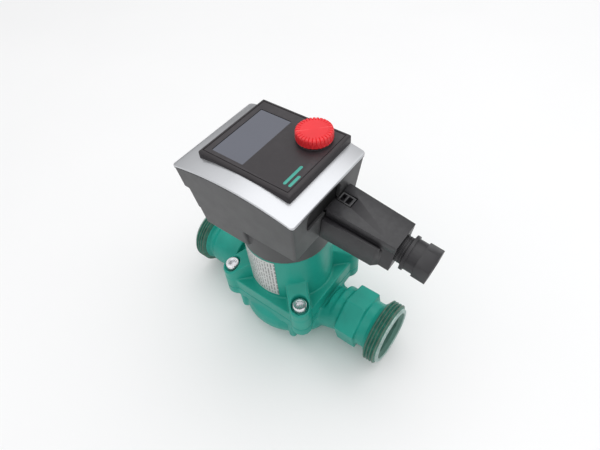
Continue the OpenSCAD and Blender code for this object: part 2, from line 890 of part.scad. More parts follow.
module plug_latch() {
    color([0.2, 0.2, 0.21]) in_plug_frame() {
        difference() {
            block([latch_x[0], latch_y - latch_w / 2, latch_z[0]],
                [latch_x[1], latch_y + latch_w / 2, latch_z[1]]);
            for (h = latch_holes)
                block([h[0], latch_y - latch_hole_w / 2, -4], [h[1], latch_y + latch_hole_w / 2, 2]);
        }
        latch_axle(latch_pin_r, latch_pin_w);
    }
}

module gland_seal() {
    color([0.1, 0.1, 0.1]) in_plug_frame() difference() {
        xcyl(gland_x + 1, gland_x + seal_len, seal_r, gland_z);
        xcyl(gland_x, gland_x + seal_len + 1, cable_r, gland_z);
    }
}

module gland_ring() {
    color([0.12, 0.12, 0.12]) in_plug_frame() difference() {
        xcyl(nut_x + ring_x, nut_x + ring_x + ring_t, ring_r, gland_z);
        xcyl(nut_x + ring_x - 2, nut_x + ring_x + 5, cable_r + 0.8, gland_z);
    }
}

module gland_nut() {
    color([0.15, 0.15, 0.16]) in_plug_frame() difference() {
        union() {
            xcyl(nut_x, nut_x + nut_flange, nut_r, gland_z);
            xcyl(nut_x + nut_flange, nut_x + nut_body_x, nut_body_r, gland_z);
            translate([nut_x + nut_body_x, 0, gland_z]) rotate([0, 90, 0])
                cylinder(r = nut_r, h = nut_len - nut_body_x, $fn = 6);
        }
        xcyl(nut_x - 1, nut_x + ring_x, collar_r + 0.3, gland_z);
        xcyl(nut_x + ring_x - 0.5, nut_x + ring_x + ring_t + 0.3, ring_r + 0.3, gland_z);
        xcyl(nut_x - 1, nut_x + nut_len + 1, cable_r + 1.2, gland_z);
    }
}

pump_housing();
wear_ring();
bearing_plate();
lower_bearing();
flange_gasket();
motor_housing();
motor_screws();
rating_plate();
rotor_can();
bearing_carrier();
upper_bearing();
stator_core();
stator_windings();
shaft();
thrust_washer();
rotor_core();
rotor_magnets();
rotor_sleeve();
impeller();
module_housing();
module_seal();
module_screws();
power_board();
capacitors();
choke();
board_pillars();
control_board();
display_module();
module_cover();
display_panel();
display_window();
encoder_body();
encoder_plunger();
encoder_shaft();
adjust_knob();
power_socket();
socket_pins();
plug_body();
plug_cover();
plug_screw();
plug_contacts();
plug_latch();
gland_seal();
gland_ring();
gland_nut();
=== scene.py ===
"""Looks of a wet-rotor circulator pump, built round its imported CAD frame. Metres, row frame."""
import json
import math

import bmesh
import bpy
from mathutils import Matrix, Vector


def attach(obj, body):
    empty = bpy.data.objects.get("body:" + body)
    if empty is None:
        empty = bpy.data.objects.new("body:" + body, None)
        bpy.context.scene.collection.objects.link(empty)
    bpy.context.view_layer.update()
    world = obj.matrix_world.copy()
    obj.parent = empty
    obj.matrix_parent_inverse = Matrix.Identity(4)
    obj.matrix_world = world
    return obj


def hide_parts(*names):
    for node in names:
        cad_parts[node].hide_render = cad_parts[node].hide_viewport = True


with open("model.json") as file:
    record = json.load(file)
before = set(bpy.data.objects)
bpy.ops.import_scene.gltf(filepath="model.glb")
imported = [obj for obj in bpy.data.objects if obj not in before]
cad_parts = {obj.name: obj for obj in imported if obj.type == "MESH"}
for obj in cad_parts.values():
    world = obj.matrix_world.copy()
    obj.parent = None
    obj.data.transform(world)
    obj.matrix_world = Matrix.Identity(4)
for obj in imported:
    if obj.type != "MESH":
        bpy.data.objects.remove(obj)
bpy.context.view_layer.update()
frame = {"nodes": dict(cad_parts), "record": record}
NODES = frame["nodes"]
TAU = 2 * math.pi
MM = 0.001

# Dimensions shared with the CAD model, in millimetres
PIPE_H = 30.0
PORT_X = 90.0
THREAD_R, ROOT_R, LIP_R, BORE_R = 23.9, 22.42, 21.8, 16.2
SLEEVE_R = BORE_R + 1.5  # inside of the turned thread and outside of the bore's liner
MOUTH_R = LIP_R - 3.0
PITCH, CREST_X, CRESTS = 2.309, 87.1, 4
SCREW_X, SCREW_Y, HEAD_Z, HEAD_H, HEAD_R = 31.7, 31.4, 57.0, 6.0, 5.0
SCREW_END_Z, SHANK_R, SOCKET_R = 33.2, 3.0, 2.9
MOTOR_R = 31.5
COVER_X, COVER_Y, SHIFT = 91.7, 72.5, -4.4
COVER_END_Z, COVER_RISE, COVER_T, COVER_CORNER = 160.6, 5.8, 1.6, 2.2
ARCH_R = ((COVER_X / 2) ** 2 + COVER_RISE ** 2) / (2 * COVER_RISE)
ARCH_ZC = COVER_END_Z + COVER_RISE - ARCH_R
PANEL = (-37.9, 30.7, -28.8, 32.7)
PANEL_FOOT_Z, PANEL_Z = 160.8, 168.7
WINDOW = (-31.4, -7.0, -23.3, 22.9)
KNOB = (14.4, 17.5)
KNOB_R, KNOB_Z, SHAFT_HOLE_R = 11.6, 170.2, 5.4
PLUG = Matrix.Translation((39.0, 4.5, 146.4)) @ Matrix.Rotation(math.radians(8), 4, "Y")

# In the plug's own frame
GLAND_X, GLAND_Z, COLLAR_R, GLAND_PITCH, GLAND_CRESTS = 47.3, -12.0, 8.6, 1.5, 5
RAIL_IN, RAIL_X1, GROOVE_W, GROOVE_Z, GROOVE_TOP = (12.55, 11.12), 41.0, 1.3, -9.5, -5.5
LATCH_X1, LATCH_Y, LATCH_HALF = 11.7, 1.1, 4.35

# Added in the visual model only
SWIRL_DISCS, SWIRL_START, SWIRL_STEP, SWIRL_Z, SWIRL_HALF = 15, -150, 12, 22.5, 3.4
SWIRL_R, SWIRL_R_STEP, SWIRL_TUBE, SWIRL_TUBE_STEP = 27.5, 0.42, 8.5, 0.35
NICHE_Y, NICHE_Z, NICHE_CORNER, NICHE_RIM = (-26.5, 6.5), (142.0, 157.2), 4.0, 0.8
MARK_X, MARK_STEP, MARK_W, MARK_LOW, MARK_TOPS = 21.4, 3.6, 1.9, -22.5, (-5.5, -12.5)
RIBS, PER_RIB, RIB_DEPTH, TOP_DEPTH, GROOVE_FROM, GROOVE_BLEND = 30, 10, 0.45, 0.6, 0.66, 0.18
CUT_LOW, WINDOW_CUT_TOP, HOLE_CUT_TOP = 150, 175, 180
ROW_PITCH, ROW_SHARE, DASH_RATE, DASH_LEVEL, PRINT_STRENGTH = 2.3, 0.42, 420.0, 0.47, 0.72
PRINT_Z = (0.0555, 0.0915)  # metres
THREAD_START, CLAMP_R = 0.0778, 0.0214  # metres, where the CAD's threads are drawn in to a sleeve

SIDE = Matrix.Rotation(math.radians(90), 4, "Y")  # turns +Z into +X
WALL_SIDE = Matrix(((0, 0, 1, 0), (1, 0, 0, 0), (0, 1, 0, 0), (0, 0, 0, 1)))  # turns X, Y, Z into Y, Z, X


# ---------- mesh tools ----------

def linked(name, data):
    """A new object in the scene."""
    obj = bpy.data.objects.new(name, data)
    bpy.context.scene.collection.objects.link(obj)
    return obj


def make(name, verts, faces, place=None):
    """An object from points in millimetres."""
    mesh = bpy.data.meshes.new(name)
    if place is not None:
        verts = [place @ Vector(v) for v in verts]
    mesh.from_pydata([tuple(MM * c for c in v) for v in verts], [], faces)
    obj = linked(name, mesh)
    bm = bmesh.new()
    bm.from_mesh(mesh)
    bmesh.ops.recalc_face_normals(bm, faces=bm.faces)
    bm.to_mesh(mesh)
    bm.free()
    return obj


def bake(obj):
    """Apply the object's modifiers to its mesh."""
    graph = bpy.context.evaluated_depsgraph_get()
    graph.update()
    mesh = bpy.data.meshes.new_from_object(obj.evaluated_get(graph))
    obj.modifiers.clear()
    old = obj.data
    obj.data = mesh
    bpy.data.meshes.remove(old)
    return obj


def copy_of(node, name):
    """A new object with a copy of a CAD node's mesh, welded."""
    mesh = NODES[node].data.copy()
    mesh.materials.clear()
    mesh.name = name
    obj = linked(name, mesh)
    bm = bmesh.new()
    bm.from_mesh(mesh)
    bmesh.ops.remove_doubles(bm, verts=bm.verts, dist=2e-6)
    bm.to_mesh(mesh)
    bm.free()
    return obj


def joined(name, parts):
    """One object from several, which are removed."""
    bm = bmesh.new()
    for p in parts:
        bm.from_mesh(p.data)
    mesh = bpy.data.meshes.new(name)
    bm.to_mesh(mesh)
    bm.free()
    for p in parts:
        bpy.data.objects.remove(p)
    return linked(name, mesh)


def ring_faces(rows, n, loop=False):
    """Faces between rows of n vertex numbers. A row on the axis is one number repeated."""
    pairs = list(zip(rows, rows[1:]))
    if loop:
        pairs.append((rows[-1], rows[0]))
    faces = []
    for a, b in pairs:
        for i in range(n):
            j = (i + 1) % n
            face = list(dict.fromkeys((a[i], a[j], b[j], b[i])))
            if len(face) > 2:
                faces.append(face)
    return faces


def band_faces(count, n):
    """Faces between count rings of n points, numbered ring after ring."""
    faces = []
    for k in range(count - 1):
        for i in range(n):
            j = (i + 1) % n
            faces.append((k * n + i, k * n + j, (k + 1) * n + j, (k + 1) * n + i))
    return faces


def lathe(name, prof, n=96, place=None, loop=False):
    """A solid of revolution about Z from (radius, height) points. loop closes a ring's profile."""
    verts, rows = [], []
    for r, z in prof:
        if r == 0:
            rows.append([len(verts)] * n)
            verts.append((0, 0, z))
        else:
            rows.append(list(range(len(verts), len(verts) + n)))
            verts += [(r * math.cos(TAU * i / n), r * math.sin(TAU * i / n), z) for i in range(n)]
    return make(name, verts, ring_faces(rows, n, loop), place)


def loft(name, rings, place=None):
    """A solid through rings of points, closed by a face at each end."""
    n = len(rings[0])
    verts = [p for r in rings for p in r]
    faces = band_faces(len(rings), n)
    faces.append(tuple(range(n))[::-1])
    faces.append(tuple(range((len(rings) - 1) * n, len(rings) * n)))
    return make(name, verts, faces, place)


def round_rect(x0, x1, y0, y1, r, z, n=5):
    """A ring of points round a rectangle with round corners."""
    corners = ((x1 - r, y1 - r, 0), (x0 + r, y1 - r, 90),
               (x0 + r, y0 + r, 180), (x1 - r, y0 + r, 270))
    points = []
    for cx, cy, start in corners:
        for k in range(n + 1):
            a = math.radians(start + 90 * k / n)
            points.append((cx + r * math.cos(a), cy + r * math.sin(a), z))
    return points


def slab(name, x, y, steps, r, place=None):
    """A rounded rectangle lofted through (inset, height) steps."""
    rings = [round_rect(x[0] + i, x[1] - i, y[0] + i, y[1] - i, max(r - i, 0.15), z)
             for i, z in steps]
    return loft(name, rings, place)


def cut(obj, *tools):
    """Boolean difference. The tools are removed."""
    for tool in tools:
        difference = obj.modifiers.new("cut", "BOOLEAN")
        difference.operation, difference.solver, difference.object = "DIFFERENCE", "EXACT", tool
        bake(obj)
        bpy.data.objects.remove(tool)
    return obj


def fused(obj, voxel, smooth, keep):
    """Voxel remesh that rounds every edge and inner corner, then thins the mesh."""
    remesh = obj.modifiers.new("fuse", "REMESH")
    remesh.mode, remesh.voxel_size, remesh.adaptivity = "VOXEL", voxel * MM, 0.0
    soften = obj.modifiers.new("soften", "SMOOTH")
    soften.factor, soften.iterations = 0.5, smooth
    thin = obj.modifiers.new("thin", "DECIMATE")
    thin.ratio = keep
    return bake(obj)


def bevelled(obj, width, segments=3, angle=32):
    """Merge flat facets, then round the edges that are left."""
    bm = bmesh.new()
    bm.from_mesh(obj.data)
    bmesh.ops.dissolve_limit(bm, angle_limit=math.radians(0.6), verts=bm.verts, edges=bm.edges)
    bm.to_mesh(obj.data)
    bm.free()
    bevel = obj.modifiers.new("round", "BEVEL")
    bevel.width, bevel.segments = width * MM, segments
    bevel.limit_method, bevel.angle_limit = "ANGLE", math.radians(angle)
    bevel.miter_outer, bevel.harden_normals = "MITER_ARC", True
    return bake(obj)


def finish_piece(obj, body, mat, nodes=(), angle=32):
    """Smooth shading, material, body and slot of one piece."""
    obj.data.materials.clear()
    obj.data.materials.append(mat)
    obj.data.shade_smooth()
    obj.data.set_sharp_from_angle(angle=math.radians(angle))
    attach(obj, body)
    if nodes:
        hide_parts(*nodes)
    return obj


# ---------- materials ----------

def shade(color, factor):
    """A colour made darker or lighter, with alpha."""
    return tuple(min(1.0, v * factor) for v in color) + (1.0,)


def material(name, color, rough, metallic=0.0, tone=0.08, tone_scale=60.0,
             grain=(900.0, 0.08, 0.05), coat=0.0, edge_wear_and_highlight=None, edge_wear_and_highlight_at=(0.53, 0.6),
             rough_var=0.08, spec=0.5, streak=None):
    """Procedural surface: broad changes of colour and roughness, fine grain, optional edge colour, which is
    wear on the thread and lip and a painted edge highlight, partly wear, on the paints and plastics.

    grain is (noise scale, bump strength, bump depth in millimetres).
    """
    mat = bpy.data.materials.new(name)
    mat.use_nodes = True
    nt = mat.node_tree
    nodes, links = nt.nodes, nt.links
    bsdf = nodes["Principled BSDF"]
    coord = nodes.new("ShaderNodeTexCoord")

    def noise(scale, detail=4.0, stretch=None):
        texture = nodes.new("ShaderNodeTexNoise")
        texture.inputs["Scale"].default_value = scale
        texture.inputs["Detail"].default_value = detail
        if stretch:
            mapping = nodes.new("ShaderNodeMapping")
            mapping.inputs["Scale"].default_value = stretch
            links.new(coord.outputs["Object"], mapping.inputs["Vector"])
            links.new(mapping.outputs["Vector"], texture.inputs["Vector"])
        else:
            links.new(coord.outputs["Object"], texture.inputs["Vector"])
        return texture.outputs["Fac"]

    ramp = nodes.new("ShaderNodeValToRGB")
    dark, light = ramp.color_ramp.elements
    dark.position, light.position = 0.3, 0.7
    dark.color = shade(color, 1 - tone)
    light.color = shade(color, 1 + tone)
    links.new(noise(tone_scale, 5.0, streak), ramp.inputs["Fac"])
    out = ramp.outputs["Color"]
    # edge colour on convex edges: wear, and on the paints and plastics also a painted edge highlight
    if edge_wear_and_highlight:
        geo = nodes.new("ShaderNodeNewGeometry")
        edges = nodes.new("ShaderNodeMapRange")
        edges.inputs["From Min"].default_value, edges.inputs["From Max"].default_value = edge_wear_and_highlight_at
        links.new(geo.outputs["Pointiness"], edges.inputs["Value"])
        patches = nodes.new("ShaderNodeMath")
        patches.operation = "MULTIPLY"
        links.new(edges.outputs["Result"], patches.inputs[0])
        links.new(noise(tone_scale * 5), patches.inputs[1])
        mix = nodes.new("ShaderNodeMix")
        mix.data_type = "RGBA"
        links.new(patches.outputs[0], mix.inputs["Factor"])
        links.new(out, mix.inputs["A"])
        mix.inputs["B"].default_value = (*edge_wear_and_highlight, 1.0)
        out = mix.outputs["Result"]
    links.new(out, bsdf.inputs["Base Color"])
    gloss = nodes.new("ShaderNodeMapRange")
    gloss.inputs["To Min"].default_value = max(0.02, rough - rough_var)
    gloss.inputs["To Max"].default_value = rough + rough_var
    links.new(noise(tone_scale * 3), gloss.inputs["Value"])
    links.new(gloss.outputs["Result"], bsdf.inputs["Roughness"])
    bump = nodes.new("ShaderNodeBump")
    bump.inputs["Strength"].default_value = grain[1]
    bump.inputs["Distance"].default_value = grain[2] * MM
    links.new(noise(grain[0], 3.0, streak), bump.inputs["Height"])
    links.new(bump.outputs["Normal"], bsdf.inputs["Normal"])
    bsdf.inputs["Metallic"].default_value = metallic
    bsdf.inputs["Coat Weight"].default_value = coat
    bsdf.inputs["Coat Roughness"].default_value = 0.2
    bsdf.inputs["Specular IOR Level"].default_value = spec
    return mat


GREEN = (0.013, 0.335, 0.265)
# On the green paints, module_grey, panel_black, knob_red and plug_black the lighter edge colour is a painted
# edge highlight, partly wear; on thread_worn and port_lip it is wear.
LOOKS = {
    "green_cast_iron": material("green_cast_iron", GREEN, 0.42, tone=0.10, tone_scale=55,
                                grain=(700, 0.35, 0.22), edge_wear_and_highlight=(0.06, 0.36, 0.30), spec=0.35),
    "green_aluminium": material("green_aluminium", (0.012, 0.335, 0.258), 0.38, tone=0.08, tone_scale=45,
                                grain=(800, 0.28, 0.18), edge_wear_and_highlight=(0.06, 0.36, 0.30), spec=0.35),
    "thread_worn": material("thread_worn", (0.030, 0.190, 0.140), 0.5, metallic=0.15, tone=0.3,
                            tone_scale=260, grain=(900, 0.3, 0.12), edge_wear_and_highlight=(0.17, 0.13, 0.10),
                            edge_wear_and_highlight_at=(0.5, 0.54)),
    "port_lip": material("port_lip", (0.12, 0.30, 0.26), 0.36, metallic=0.3, tone=0.22, tone_scale=150,
                         grain=(1200, 0.2, 0.08), edge_wear_and_highlight=(0.6, 0.66, 0.64), edge_wear_and_highlight_at=(0.5, 0.56)),
    "port_bore": material("port_bore", (0.075, 0.185, 0.150), 0.5, tone=0.2, tone_scale=120,
                          grain=(600, 0.4, 0.25)),
    "zinc_steel": material("zinc_steel", (0.74, 0.75, 0.77), 0.27, metallic=0.95, tone=0.06, tone_scale=300,
                           grain=(1500, 0.12, 0.05)),
    "stainless": material("stainless", (0.66, 0.67, 0.69), 0.26, metallic=1.0, grain=(1300, 0.1, 0.04)),
    "carbon": material("carbon", (0.03, 0.03, 0.033), 0.55),
    "black_rubber": material("black_rubber", (0.016, 0.016, 0.016), 0.75),
    "lamination_steel": material("lamination_steel", (0.28, 0.29, 0.31), 0.4, metallic=0.8,
                                 streak=(1, 1, 40)),
    "copper": material("copper", (0.55, 0.22, 0.07), 0.33, metallic=0.9, streak=(4, 4, 30)),
    "magnet": material("magnet", (0.035, 0.035, 0.04), 0.5),
    "impeller_plastic": material("impeller_plastic", (0.60, 0.56, 0.43), 0.45),
    "module_grey": material("module_grey", (0.071, 0.071, 0.073), 0.5, tone=0.05, tone_scale=40,
                            grain=(2600, 0.30, 0.06), edge_wear_and_highlight=(0.12, 0.12, 0.12)),
    # near-black for sheets that stand for shade: painted shade in the gap under the cover and at the back of
    # the plug's niche
    "painted_shade_dark": material("painted_shade_dark", (0.012, 0.012, 0.013), 0.6),
    "circuit_board": material("circuit_board", (0.012, 0.10, 0.04), 0.4, tone=0.2, tone_scale=400),
    "capacitor_can": material("capacitor_can", (0.02, 0.03, 0.07), 0.35),
    "brass": material("brass", (0.60, 0.42, 0.14), 0.3, metallic=1.0),
    "display_frame": material("display_frame", (0.22, 0.23, 0.22), 0.5),
    "silver_paint": material("silver_paint", (0.585, 0.595, 0.618), 0.30, metallic=0.8, tone=0.02,
                             tone_scale=25, grain=(3200, 0.14, 0.04), rough_var=0.03),
    "panel_black": material("panel_black", (0.020, 0.016, 0.019), 0.42, tone=0.06, tone_scale=60,
                            grain=(2800, 0.22, 0.05), edge_wear_and_highlight=(0.05, 0.045, 0.05)),
    "display_glass": material("display_glass", (0.098, 0.105, 0.136), 0.16, tone=0.05, tone_scale=18,
                              grain=(400, 0.02, 0.02), coat=0.5, rough_var=0.03),
    "black_plastic": material("black_plastic", (0.02, 0.02, 0.022), 0.5),
    "knob_red": material("knob_red", (0.82, 0.024, 0.033), 0.42, tone=0.05, tone_scale=90,
                         grain=(2400, 0.16, 0.05), edge_wear_and_highlight=(0.95, 0.16, 0.16)),
    "plug_black": material("plug_black", (0.022, 0.021, 0.024), 0.44, tone=0.06, tone_scale=70,
                           grain=(2400, 0.30, 0.07), edge_wear_and_highlight=(0.05, 0.05, 0.053)),
    "mark_green": material("mark_green", (0.05, 0.36, 0.29), 0.4),
}
for sub in frame["record"]["subparts"]:
    data = NODES[sub["node"]].data
    data.materials.clear()
    data.materials.append(LOOKS.get(sub["material_slot"], LOOKS["black_plastic"]))


# ---------- hydraulics ----------

def clamp_threads(obj):
    """Draw the port threads in to a plain sleeve, because they are turned pieces of their own."""
    for v in obj.data.vertices:
        if abs(v.co.x) > THREAD_START:
            r = math.hypot(v.co.y, v.co.z - PIPE_H * MM)
            if r > CLAMP_R:
                factor = CLAMP_R / r
                v.co.y *= factor
                v.co.z = PIPE_H * MM + (v.co.z - PIPE_H * MM) * factor


def port_place(side):
    """Turns Z into the axis of the port on one side."""
    return Matrix.Translation((0, 0, PIPE_H)) @ Matrix.Rotation(math.radians(90 * side), 4, "Y")


pump = copy_of("pump_housing", "pump_casting_raw")
clamp_threads(pump)
for side in (-1, 1):
    # room for the turned mouth of each port
    mouth_prof = [(0, 86.2), (BORE_R + 0.6, 86.2), (19.5, 88.6), (19.5, 92), (0, 92)]
    cut(pump, lathe("mouth", mouth_prof, 96, port_place(side)))
swirl = []
for i in range(SWIRL_DISCS):
    # the volute's outer wall grows round the bowl towards the discharge
    a = math.radians(SWIRL_START + SWIRL_STEP * i)
    r = SWIRL_R + SWIRL_R_STEP * i
    tube = SWIRL_TUBE + SWIRL_TUBE_STEP * i
    disc = [(0, -SWIRL_HALF), (tube, -SWIRL_HALF), (tube, SWIRL_HALF), (0, SWIRL_HALF)]
    at = Matrix.Translation((r * math.cos(a), r * math.sin(a), SWIRL_Z)) @ Matrix.Rotation(a, 4, "Z")
    swirl.append(lathe("swirl", disc, 40, at @ Matrix.Rotation(math.radians(90), 4, "X")))
pump = fused(joined("pump_casting", [pump] + swirl), voxel=0.75, smooth=9, keep=0.45)
finish_piece(pump, "pump", LOOKS["green_cast_iron"], ["pump_housing"], angle=60)


def port(side):
    """Turned thread, lip and bore of one port. The second number of each point is along the pipe."""
    place = port_place(side)
    word = "discharge" if side > 0 else "suction"
    thread_prof = [(SLEEVE_R, 77.6), (18.4, 77.6), (20.4, 78.2), (ROOT_R - 0.2, 79.0)]
    for k in reversed(range(CRESTS)):
        x = CREST_X - k * PITCH
        thread_prof += [(ROOT_R, x - 0.98), (THREAD_R - 0.12, x - 0.30), (THREAD_R, x - 0.12),
                        (THREAD_R, x + 0.12), (THREAD_R - 0.12, x + 0.30), (ROOT_R, x + 0.98)]
    thread_prof += [(LIP_R + 0.1, 88.2), (LIP_R, 88.5), (SLEEVE_R, 88.5)]
    lip_prof = [(LIP_R, 88.4), (LIP_R, 89.3), (LIP_R - 0.25, 89.8), (LIP_R - 0.7, PORT_X),
                (MOUTH_R + 0.5, PORT_X), (MOUTH_R + 0.1, PORT_X - 0.2), (MOUTH_R, PORT_X - 0.6),
                (MOUTH_R, 88.4)]
    bore_prof = [(MOUTH_R + 0.1, PORT_X - 0.55), (BORE_R + 0.3, 87.3), (BORE_R - 0.12, 86.7),
                 (BORE_R - 0.12, 60), (SLEEVE_R, 60), (SLEEVE_R, 86.9), (MOUTH_R + 0.1, 88.7)]
    for part, prof, sides, look in (("_thread", thread_prof, 180, "thread_worn"),
                                    ("_lip", lip_prof, 160, "port_lip"),
                                    ("_bore", bore_prof, 160, "port_bore")):
        piece = lathe(word + part, prof, sides, place, True)
        finish_piece(piece, "pump", LOOKS[look])


port(1)
port(-1)

# ---------- motor ----------

motor = fused(copy_of("motor_housing", "motor_casting"), voxel=0.6, smooth=5, keep=0.45)
finish_piece(motor, "pump", LOOKS["green_aluminium"], ["motor_housing"], angle=60)

top = HEAD_Z + HEAD_H
head_prof = [(0, SCREW_END_Z), (2.4, SCREW_END_Z), (SHANK_R, 34.0), (SHANK_R, HEAD_Z),
             (HEAD_R - 0.2, HEAD_Z), (HEAD_R, HEAD_Z + 0.2), (HEAD_R, top - 0.6), (HEAD_R - 0.18, top - 0.18),
             (HEAD_R - 0.6, top), (3.5, top), (3.1, top - 0.35), (0, top - 0.35)]
socket_prof = [(0, top + 1), (SOCKET_R, top + 1), (SOCKET_R, top - 3.2), (0, top - 3.8)]
screws = []
for sx in (-1, 1):
    for sy in (-1, 1):
        # no two sockets point the same way
        turn = Matrix.Rotation(0.4 + sx * 0.5 + sy, 4, "Z")
        place = Matrix.Translation((sx * SCREW_X, sy * SCREW_Y, 0)) @ turn
        head = lathe("head", head_prof, 64, place)
        screws.append(cut(head, lathe("hex", socket_prof, 6, place)))
screws = joined("motor_socket_screws", screws)
finish_piece(screws, "pump", LOOKS["zinc_steel"], ["motor_screws"], angle=30)

# ---------- control module ----------

case = fused(copy_of("module_housing", "module_case"), voxel=0.55, smooth=3, keep=0.35)
niche_steps = [(-3.0, 30.0), (0.0, 38.4), (0.0, 46.0)]
cut(case, slab("niche", NICHE_Y, NICHE_Z, niche_steps, NICHE_CORNER, WALL_SIDE))
finish_piece(case, "pump", LOOKS["module_grey"], ["module_housing"], angle=30)
# a near-black sheet at the back of the niche: painted shade in the recess beside the plug
niche_shade_sheet = slab("niche_painted_shade", (NICHE_Y[0] - NICHE_RIM, NICHE_Y[1] + NICHE_RIM),
             (NICHE_Z[0] - NICHE_RIM, NICHE_Z[1] + NICHE_RIM), [(0, 36.3), (0, 36.9)],
             NICHE_CORNER, WALL_SIDE)
finish_piece(niche_shade_sheet, "pump", LOOKS["painted_shade_dark"])


def arch(x):
    """Height of the cover's top."""
    return ARCH_ZC + math.sqrt(ARCH_R ** 2 - (x - SHIFT) ** 2)


def arched(name, inset, rings, corner, nx=40, nc=7):
    """A plate with round corners that follows the arch.

    rings are (inset, height over the arch) pairs from its underside to its top.
    """
    def row(i, dz):
        hx, hy = COVER_X / 2 - inset - i, COVER_Y / 2 - inset - i
        r = max(corner - inset - i, 0.1)
        cols = []
        for k in range(nc + 1):
            a = math.pi / 2 * k / nc
            cols.append((-hx + r - r * math.cos(a), hy - r + r * math.sin(a)))
        for k in range(1, nx):
            cols.append((-hx + r + (2 * hx - 2 * r) * k / nx, hy))
        for k in range(nc, -1, -1):
            a = math.pi / 2 * k / nc
            cols.append((hx - r + r * math.cos(a), hy - r + r * math.sin(a)))
        low = [(SHIFT + x, SHIFT - y, arch(SHIFT + x) + dz) for x, y in cols]
        high = [(SHIFT + x, SHIFT + y, arch(SHIFT + x) + dz) for x, y in cols]
        return low + high[::-1], len(cols)
    all_rows = [row(i, dz) for i, dz in rings]
    n = all_rows[0][1]
    verts = [p for points, _ in all_rows for p in points]
    faces = band_faces(len(rings), 2 * n)
    for base in (0, (len(rings) - 1) * 2 * n):
        for i in range(n - 1):
            faces.append((base + i, base + i + 1, base + 2 * n - 2 - i, base + 2 * n - 1 - i))
    return make(name, verts, faces)


def opening_tools():
    """Cutters for the window and the knob's shaft."""
    window = slab("window_cut", WINDOW[:2], WINDOW[2:], [(0, CUT_LOW), (0, WINDOW_CUT_TOP)], 0.6)
    hole_prof = [(0, CUT_LOW), (SHAFT_HOLE_R, CUT_LOW), (SHAFT_HOLE_R, HOLE_CUT_TOP), (0, HOLE_CUT_TOP)]
    hole = lathe("knob_cut", hole_prof, 48, Matrix.Translation((*KNOB, 0)))
    return window, hole


cover_rings = [(0.35, -COVER_T), (0.0, -COVER_T + 0.25), (0.0, -0.45), (0.12, -0.14), (0.45, 0.0)]
cover = arched("module_top", 0.0, cover_rings, COVER_CORNER)
cut(cover, *opening_tools())
finish_piece(cover, "pump", LOOKS["silver_paint"], ["module_cover"], angle=40)
# a near-black sheet just under the cover's edge: painted shadow in the gap between the cover and the case
cover_gap_shade_rings = [(0.0, -COVER_T - 0.55), (0.0, -COVER_T - 0.22), (0.0, -COVER_T + 0.02)]
cover_gap_shade = arched("cover_gap_painted_shade", 0.12, cover_gap_shade_rings, COVER_CORNER)
cut(cover_gap_shade, *opening_tools())
finish_piece(cover_gap_shade, "pump", LOOKS["painted_shade_dark"])

bezel_steps = [(0, PANEL_FOOT_Z), (0, PANEL_Z - 1.3), (0.15, PANEL_Z - 0.9), (1.1, PANEL_Z - 0.1),
               (1.4, PANEL_Z), (2.3, PANEL_Z), (2.42, PANEL_Z - 0.35), (2.75, PANEL_Z - 0.35),
               (2.87, PANEL_Z)]
bezel = slab("display_bezel", PANEL[:2], PANEL[2:], bezel_steps, 1.3)
cut(bezel, *opening_tools())
finish_piece(bezel, "pump", LOOKS["panel_black"], ["display_panel"], angle=25)
collar_prof = [(SHAFT_HOLE_R, PANEL_Z - 0.6), (10.9, PANEL_Z - 0.6), (10.9, PANEL_Z + 0.25),
               (10.6, PANEL_Z + 0.5), (5.9, PANEL_Z + 0.5), (SHAFT_HOLE_R, PANEL_Z + 0.3)]
ring = lathe("knob_collar", collar_prof, 96, Matrix.Translation((*KNOB, 0)), True)
finish_piece(ring, "pump", LOOKS["panel_black"])
glass = slab("display_screen", (WINDOW[0] + 0.04, WINDOW[1] - 0.04), (WINDOW[2] + 0.04, WINDOW[3] - 0.04),
             [(0, PANEL_Z - 1.5), (0, PANEL_Z - 0.5), (0.2, PANEL_Z - 0.3)], 0.5)
finish_piece(glass, "pump", LOOKS["display_glass"], ["display_window"])
for i, y1 in enumerate(MARK_TOPS):
    x = MARK_X + MARK_STEP * i
    bar = slab("panel_mark_%d" % (i + 1), (x, x + MARK_W), (MARK_LOW, y1),
               [(0, PANEL_Z - 0.2), (0, PANEL_Z + 0.03), (0.08, PANEL_Z + 0.06)], 0.94)
    finish_piece(bar, "pump", LOOKS["mark_green"])


def ribbed_knob():
    """Knob with a ribbed side and short radial grooves round its top."""
    n = RIBS * PER_RIB
    prof = [(0, 0.4), (9.9, 0.4), (10.0, 0.0), (KNOB_R - 0.5, 0.0), (KNOB_R - 0.1, 0.3),
            (KNOB_R, 0.8), (KNOB_R - 0.05, 3.0), (KNOB_R - 0.12, 4.7), (KNOB_R - 0.4, 5.5),
            (KNOB_R - 0.9, 5.9), (KNOB_R - 1.4, 6.0), (KNOB_R - 2.0, 6.0), (KNOB_R - 3.0, 6.0),
            (KNOB_R - 3.5, 6.0), (KNOB_R - 3.7, 5.98), (0, 5.98)]
    side_rows, top_rows = range(5, 10), range(8, 13)  # points of the profile that the grooves move
    verts, rows = [], []
    for k, (r, z) in enumerate(prof):
        if r == 0:
            rows.append([len(verts)] * n)
            verts.append((0, 0, KNOB_Z + z))
            continue
        row = []
        for i in range(n):
            a = TAU * i / n
            wave = abs(((i % PER_RIB) / PER_RIB) - 0.5) * 2  # 1 at a groove, 0 between
            groove = max(0.0, min(1.0, (wave - GROOVE_FROM) / GROOVE_BLEND))
            dr = RIB_DEPTH * groove if k in side_rows else 0.0
            dz = TOP_DEPTH * groove if k in top_rows else 0.0
            row.append(len(verts))
            verts.append(((r - dr) * math.cos(a), (r - dr) * math.sin(a), KNOB_Z + z - dz))
        rows.append(row)
    return make("red_knob", verts, ring_faces(rows, n), Matrix.Translation((*KNOB, 0)))


finish_piece(ribbed_knob(), "knob", LOOKS["knob_red"], ["adjust_knob"], angle=35)

# ---------- plug and gland ----------

